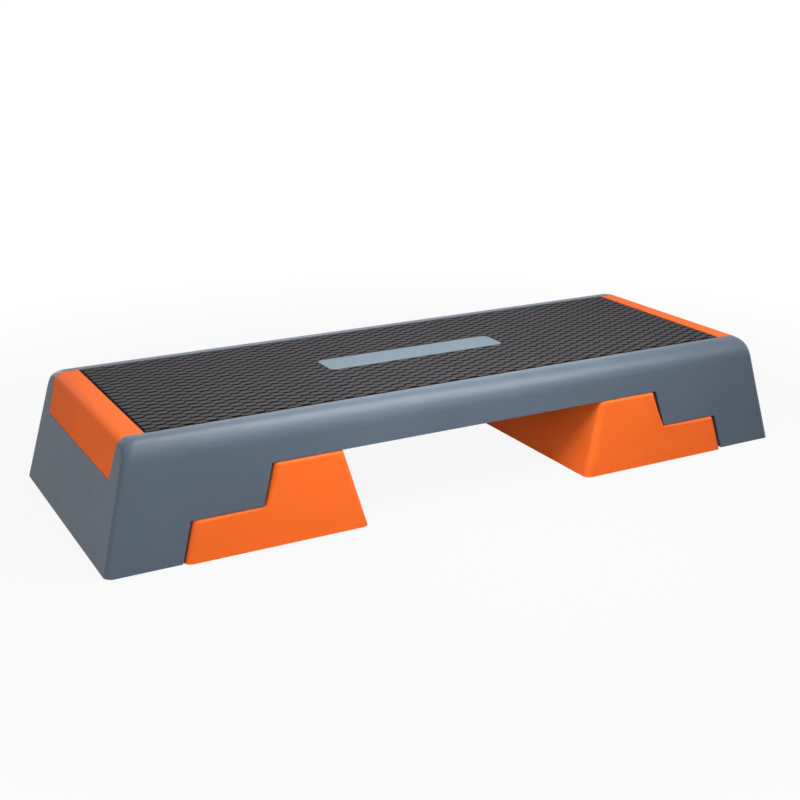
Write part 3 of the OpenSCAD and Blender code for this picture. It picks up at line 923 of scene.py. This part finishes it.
def riser_form(t=0.0):
    """Closed form of the right riser with its faces moved in by t: a stair, rounded off."""
    deck, riser = settings()[:2]
    tread1, tread2, low = RISER_HIGH.z / 2 - t, RISER_HIGH.z - t, RISER_LOW.z
    in_x, in_y = t / cos(deck.stair_lean), t / cos(deck.side_lean)
    outline = [(riser_inner_x(low) + in_x, low), (riser_outer_x(low) - in_x, low),
               (riser_outer_x(tread1) - in_x, tread1), (riser_step_x(tread1) - in_x, tread1),
               (riser_step_x(tread2) - in_x, tread2), (riser_inner_x(tread2) + in_x, tread2)]
    bm = bmesh.new()
    bm.faces.new([bm.verts.new((x, -(riser_half(z) - in_y), z)) for x, z in outline])
    made = bmesh.ops.extrude_face_region(bm, geom=bm.faces[:])
    for vert in of_kind(made["geom"], BMVert):
        vert.co.y *= -1
    bmesh.ops.recalc_face_normals(bm, faces=bm.faces)
    round_off(bm, upright_edges(bm), max(riser.corner_radius - t, LEAST_CORNER))
    bm.normal_update()

    def inner_corner(edge):
        """The edge where the lower tread meets the step's wall, which stays sharp."""
        return all(abs(vert.co.z - tread1) < SAME_LEVEL
                   and abs(vert.co.x - riser_step_x(tread1) + in_x) < 0.1 * MM
                   for vert in edge.verts)

    treads = [clear_of_painted_shade for clear_of_painted_shade in bm.faces if clear_of_painted_shade.normal.z > 0.99]
    rims = dict.fromkeys(edge for clear_of_painted_shade in treads for edge in clear_of_painted_shade.edges if not inner_corner(edge))
    round_off(bm, list(rims), max(riser.tread_radius - t, 1 * MM), TREAD_STEPS)
    bmesh.ops.dissolve_degenerate(bm, dist=SAME_POINT, edges=bm.edges)
    return bm


class STEP_OT_risers(bpy.types.Operator):
    """Build the two stair-shaped risers with their ribs and foot posts"""
    bl_idname = "step.risers"
    bl_label = "Risers"

    def execute(self, context):
        riser = settings().riser
        low = RISER_LOW.z
        posts = [place for _, place in foot_places("riser_right")]
        for name, side in SIDES.items():
            bm = riser_form()
            bm.normal_update()
            delete_faces(bm, lambda clear_of_painted_shade: (clear_of_painted_shade.normal.z < -0.9
                                           and middle(clear_of_painted_shade).z < low + SAME_LEVEL))
            walled(bm, riser.wall, low)
            half = riser_form(riser.wall / 2)
            add_ribs(bm, half, [k * riser.rib_pitch for k in (-1, 0, 1)],
                     sorted({round(place.x, 5) for place in posts}),
                     riser.rib, low + riser.rib_lift)
            half.free()
            for place in posts:
                under_upper = place.x < riser_step_x(RISER_HIGH.z)
                tread = RISER_HIGH.z if under_upper else RISER_HIGH.z / 2
                add_post(bm, place, tread - RISER_COVER)
            mirrored(bm, side)
            piece("riser_body_" + name, bm, "orange", "riser_" + name,
                  ["riser_" + name], RISER_EDGE)
        return {"FINISHED"}


# A foot's outline in mm, radius and height: the screw's hole, three rings below, the round side
FOOT_PROFILE = ((1.9, 5), (1.9, 3), (4.2, 3), (4.2, 0.4), (4.6, 0), (6.2, 0), (6.5, 0.7),
                (7.3, 0.7), (7.6, 0), (9.2, 0), (9.5, 0.7), (10.3, 0.7), (10.6, 0), (13, 0),
                (13.7, 0.3), (14, 1), (14, 4.6), (13.6, 5), (1.9, 5))


class STEP_OT_feet(bpy.types.Operator):
    """Build the twelve rubber feet with their gripping rings"""
    bl_idname = "step.feet"
    bl_label = "Feet"

    def execute(self, context):
        for body in BODIES:
            for node, place in foot_places(body):
                bm = lathe([(radius * MM, height * MM) for radius, height in FOOT_PROFILE])
                shift(bm, place)
                piece(node.replace("_foot_", "_rubber_foot_"), bm, "foot", body,
                      [node])
        return {"FINISHED"}


HEAD_RISE = 2.4 * MM
SHANK_RADIUS = 1.8 * MM
SCREW_TIP = 2 * MM        # length of the pointed end
THREAD_START = 1.5 * MM   # from the head's seat to the first ridge
THREAD_PITCH = 1.3 * MM
RIDGE_DEPTH = 0.25 * MM   # how deep a ridge sits in the shank, and half its width
RIDGE_PROUD = 0.02 * MM
FOOT_SCREW = (4 * MM, 18 * MM)  # radius of the head and length of the shank
CAP_SCREW = (6 * MM, 9 * MM)
FOOT_SEAT = 3 * MM        # a foot screw's head bears on the foot this far above the floor
CAP_SEAT = 15.3 * MM      # and a cap screw's on the boss, this deep behind the cap's face


def screw(head_radius, shank_length):
    """Self-tapping screw, its head's seat at the origin and its tip up, with a cross recess."""
    crown = HEAD_RISE / 3
    bm = bmesh.new()
    bmesh.ops.create_cone(bm, cap_ends=True, segments=32, radius1=head_radius - crown,
                          radius2=head_radius, depth=crown)
    shift(bm, (0, 0, -HEAD_RISE + crown / 2))
    arm, slot = head_radius * 0.52, head_radius * 0.13  # half length and half width of the cross

    def on_face(clear_of_painted_shade):
        return middle(clear_of_painted_shade).z < -HEAD_RISE + SAME_POINT

    def in_cross(clear_of_painted_shade):
        across, along = sorted((abs(middle(clear_of_painted_shade).x), abs(middle(clear_of_painted_shade).y)))
        return on_face(clear_of_painted_shade) and along < arm and across < slot

    for axis in ((1, 0, 0), (0, 1, 0)):
        for reach in (-arm, -slot, slot, arm):
            slice_faces(bm, Vector(axis) * reach, axis, on_face)
    bmesh.ops.inset_region(bm, faces=[clear_of_painted_shade for clear_of_painted_shade in bm.faces if in_cross(clear_of_painted_shade)],
                           thickness=0.02 * MM, depth=-crown * 1.8, use_even_offset=True)
    join(bm, rod((0, 0, -HEAD_RISE + crown), UP, head_radius, HEAD_RISE - crown))
    straight = shank_length - SCREW_TIP
    join(bm, rod((0, 0, 0), UP, SHANK_RADIUS, straight, 16))
    join(bm, rod((0, 0, straight), UP, SHANK_RADIUS, SCREW_TIP, 16, 0.1 * MM))
    for k in range(int((shank_length - 2 * SCREW_TIP) / THREAD_PITCH)):
        z = THREAD_START + k * THREAD_PITCH
        root = SHANK_RADIUS - RIDGE_DEPTH
        join(bm, lathe([(root, z), (SHANK_RADIUS + RIDGE_PROUD, z + RIDGE_DEPTH),
                        (root, z + 2 * RIDGE_DEPTH)], 16))
    return bm


class STEP_OT_screws(bpy.types.Operator):
    """Build the screws of the feet and of the end caps"""
    bl_idname = "step.screws"
    bl_label = "Screws"

    def execute(self, context):
        for body in BODIES:
            whole = bmesh.new()
            for index, (_, place) in enumerate(foot_places(body)):
                one = screw(*FOOT_SCREW)
                turn = Matrix.Rotation(0.7 * index + 0.3, 3, "Z")  # no two crosses stand alike
                bmesh.ops.rotate(one, matrix=turn, verts=one.verts)
                shift(one, (place.x, place.y, FOOT_SEAT))
                join(whole, one)
            piece(body + "_foot_screw_set", whole, "zinc", body,
                  [body + "_foot_screws"])
        whole = bmesh.new()
        out = square_to(settings().deck.end_lean)
        for side in SIDES.values():
            for place in cap_screw_places():
                one = screw(*CAP_SCREW)
                bmesh.ops.rotate(one, matrix=turn_to(out), verts=one.verts)
                shift(one, place - out * CAP_SEAT)
                join(whole, mirrored(one, side))
        piece("cap_screw_set", whole, "zinc", "deck", ["cap_screws"])
        return {"FINISHED"}


LAMP_COLOUR = (0.93, 0.97, 1.0)
LAMPS = (  # name, place, what it aims at, width and height, watts
    ("overhead strip", (0.42, -0.25, 1.35), (0.05, -0.05, 0.12), (2.4, 0.5), 2.8),
    ("front soft box", (0.26, -1.50, 0.45), (-0.10, -0.15, 0.10), (0.6, 0.3), 2.5),
    ("left fill", (-1.7, -0.75, 0.40), (-0.45, 0, 0.08), (0.8, 0.4), 7.2),
    ("low left fill", (-1.3, -1.1, 0.18), (0.1, 0, 0.05), (0.6, 0.3), 3.3),
    ("near front strip", (0, -0.44, 0.60), (0, -0.14, 0.08), (0.7, 0.18), 3.4),
    ("left shoulder box", (0.08, -0.30, 1.0), (-0.40, -0.17, 0.13), (0.35, 0.12), 5.8),
    ("right fill", (1.7, -0.3, 0.50), (0.45, 0, 0.08), (0.8, 0.4), 4.7),
    ("rear fill", (-0.6, 1.7, 0.50), (0, 0.15, 0.08), (0.8, 0.4), 6.4),
    ("rear strip", (0.70, 1.5, 0.90), (0, 0, 0.10), (1.5, 0.5), 7.8),
)
GLEAM_ENDS = (Vector((-0.17, 0.30, 1.29)), Vector((0.92, -0.85, 0.90)))
GLEAM_WIDTH, GLEAM_WATTS = 0.10, 78.0


class STEP_OT_stage(bpy.types.Operator):
    """Build the pale floor, the soft studio light and the camera"""
    bl_idname = "step.stage"
    bl_label = "Stage"

    def execute(self, context):
        stage = settings().stage
        self.floor(stage)
        self.lamps()
        self.world(context.scene)
        self.camera(context.scene, stage)
        context.scene.view_settings.view_transform = "Standard"
        return {"FINISHED"}

    def floor(self, stage):
        """A floor that is white but for the object's shadow, and wholly white further away."""
        bm = bmesh.new()
        bmesh.ops.create_grid(bm, x_segments=1, y_segments=1, size=30)
        floor = add_object("floor", mesh_from("floor", bm))
        s = Material("floor")
        matt = s.node("ShaderNodeBsdfDiffuse", None, {"Color": rgba(stage.floor)})
        white = s.node("ShaderNodeEmission", None, {"Color": rgba((1, 1, 1)), "Strength": 1.0})
        away = s.node("ShaderNodeVectorMath", {"operation": "LENGTH"}, {0: s.place}, 1)
        far = 0.92 + 0.08 * ((away - 0.7) * 2.0).clamp()  # whiter from 0.7 m out to 1.2 m
        s.show(s.node("ShaderNodeMixShader", None, {0: far * s.white_rays(), 1: matt, 2: white}))
        floor.data.materials.append(s.owner)
        floor.location.z = CAD_BOX[0][2] - 0.2 * MM

    def lamp(self, name, place, size, watts):
        """An area lamp that the camera doesn't see."""
        data = bpy.data.lights.new(name, "AREA")
        data.shape, data.energy, data.color = "RECTANGLE", watts, LAMP_COLOUR
        data.size, data.size_y = size
        lamp = add_object(name, data)
        lamp.visible_camera = False
        lamp.location = place
        return lamp

    def lamps(self):
        """Nine soft lamps, and a long one that only shows as the gleam along the shoulder."""
        for name, place, aim, size, watts in LAMPS:
            back = Vector(place) - Vector(aim)
            lamp = self.lamp(name, place, size, watts)
            lamp.rotation_euler = back.to_track_quat("Z", "Y").to_euler()
        start, end = GLEAM_ENDS
        gleam = self.lamp("shoulder gleam", (start + end) / 2,
                          ((end - start).length, GLEAM_WIDTH), GLEAM_WATTS)
        gleam.visible_diffuse = False
        along = (end - start).normalized()
        side = gleam.location.cross(along).normalized()
        gleam.rotation_euler = Matrix((along, side, along.cross(side))).transposed().to_euler()

    def world(self, scene):
        """A faint cool light from all round, and a white background."""
        scene.world = bpy.data.worlds.new("studio")
        s = Shader(scene.world, "ShaderNodeOutputWorld")
        soft = s.node("ShaderNodeBackground", None,
                      {"Color": rgba((0.95, 0.97, 1.0)), "Strength": 0.20})
        white = s.node("ShaderNodeBackground", None, {"Color": rgba((1, 1, 1)), "Strength": 1.0})
        s.show(s.node("ShaderNodeMixShader", None, {0: s.white_rays(), 1: soft, 2: white}))

    def camera(self, scene, stage):
        data = bpy.data.cameras.new("camera")
        data.lens, data.sensor_width = stage.lens, 36
        data.clip_start, data.clip_end = 0.05, 100
        camera = add_object("camera", data)
        a, e = stage.azimuth, stage.elevation
        back = Vector((sin(a) * cos(e), -cos(a) * cos(e), sin(e)))
        camera.location = stage.place
        camera.rotation_euler = back.to_track_quat("Z", "Y").to_euler()
        scene.camera = camera


PIECES = (STEP_OT_deck, STEP_OT_end_caps, STEP_OT_tread_mat, STEP_OT_badge_plate, STEP_OT_risers,
          STEP_OT_feet, STEP_OT_screws, STEP_OT_stage)


class STEP_PT_panel(bpy.types.Panel):
    """Sizes, colours and building steps of the aerobic step"""
    bl_idname = "STEP_PT_panel"
    bl_label = "Aerobic Step"
    bl_space_type = "VIEW_3D"
    bl_region_type = "UI"
    bl_category = "Step"

    def draw(self, context):
        for group in settings():
            box = self.layout.box()
            for name in group.bl_rna.properties.keys():
                if name not in ("rna_type", "name"):
                    box.prop(group, name)
        for operator in PIECES:
            self.layout.operator(operator.bl_idname)


GROUPS = {"step_deck": DeckSettings, "step_riser": RiserSettings, "step_mat": MatSettings,
          "step_stage": StageSettings}


def register():
    for kind in (*GROUPS.values(), *PIECES, STEP_PT_panel):
        bpy.utils.register_class(kind)
    for name, kind in GROUPS.items():
        setattr(bpy.types.Scene, name, bpy.props.PointerProperty(type=kind))


def unregister():
    for name in GROUPS:
        delattr(bpy.types.Scene, name)
    for kind in (STEP_PT_panel, *reversed(PIECES), *GROUPS.values()):
        bpy.utils.unregister_class(kind)


def main():
    register()
    for step in (bpy.ops.step.deck, bpy.ops.step.end_caps, bpy.ops.step.tread_mat,
                 bpy.ops.step.badge_plate, bpy.ops.step.risers, bpy.ops.step.feet,
                 bpy.ops.step.screws, bpy.ops.step.stage):
        step()
    bpy.context.view_layer.update()


if __name__ == "__main__":
    main()
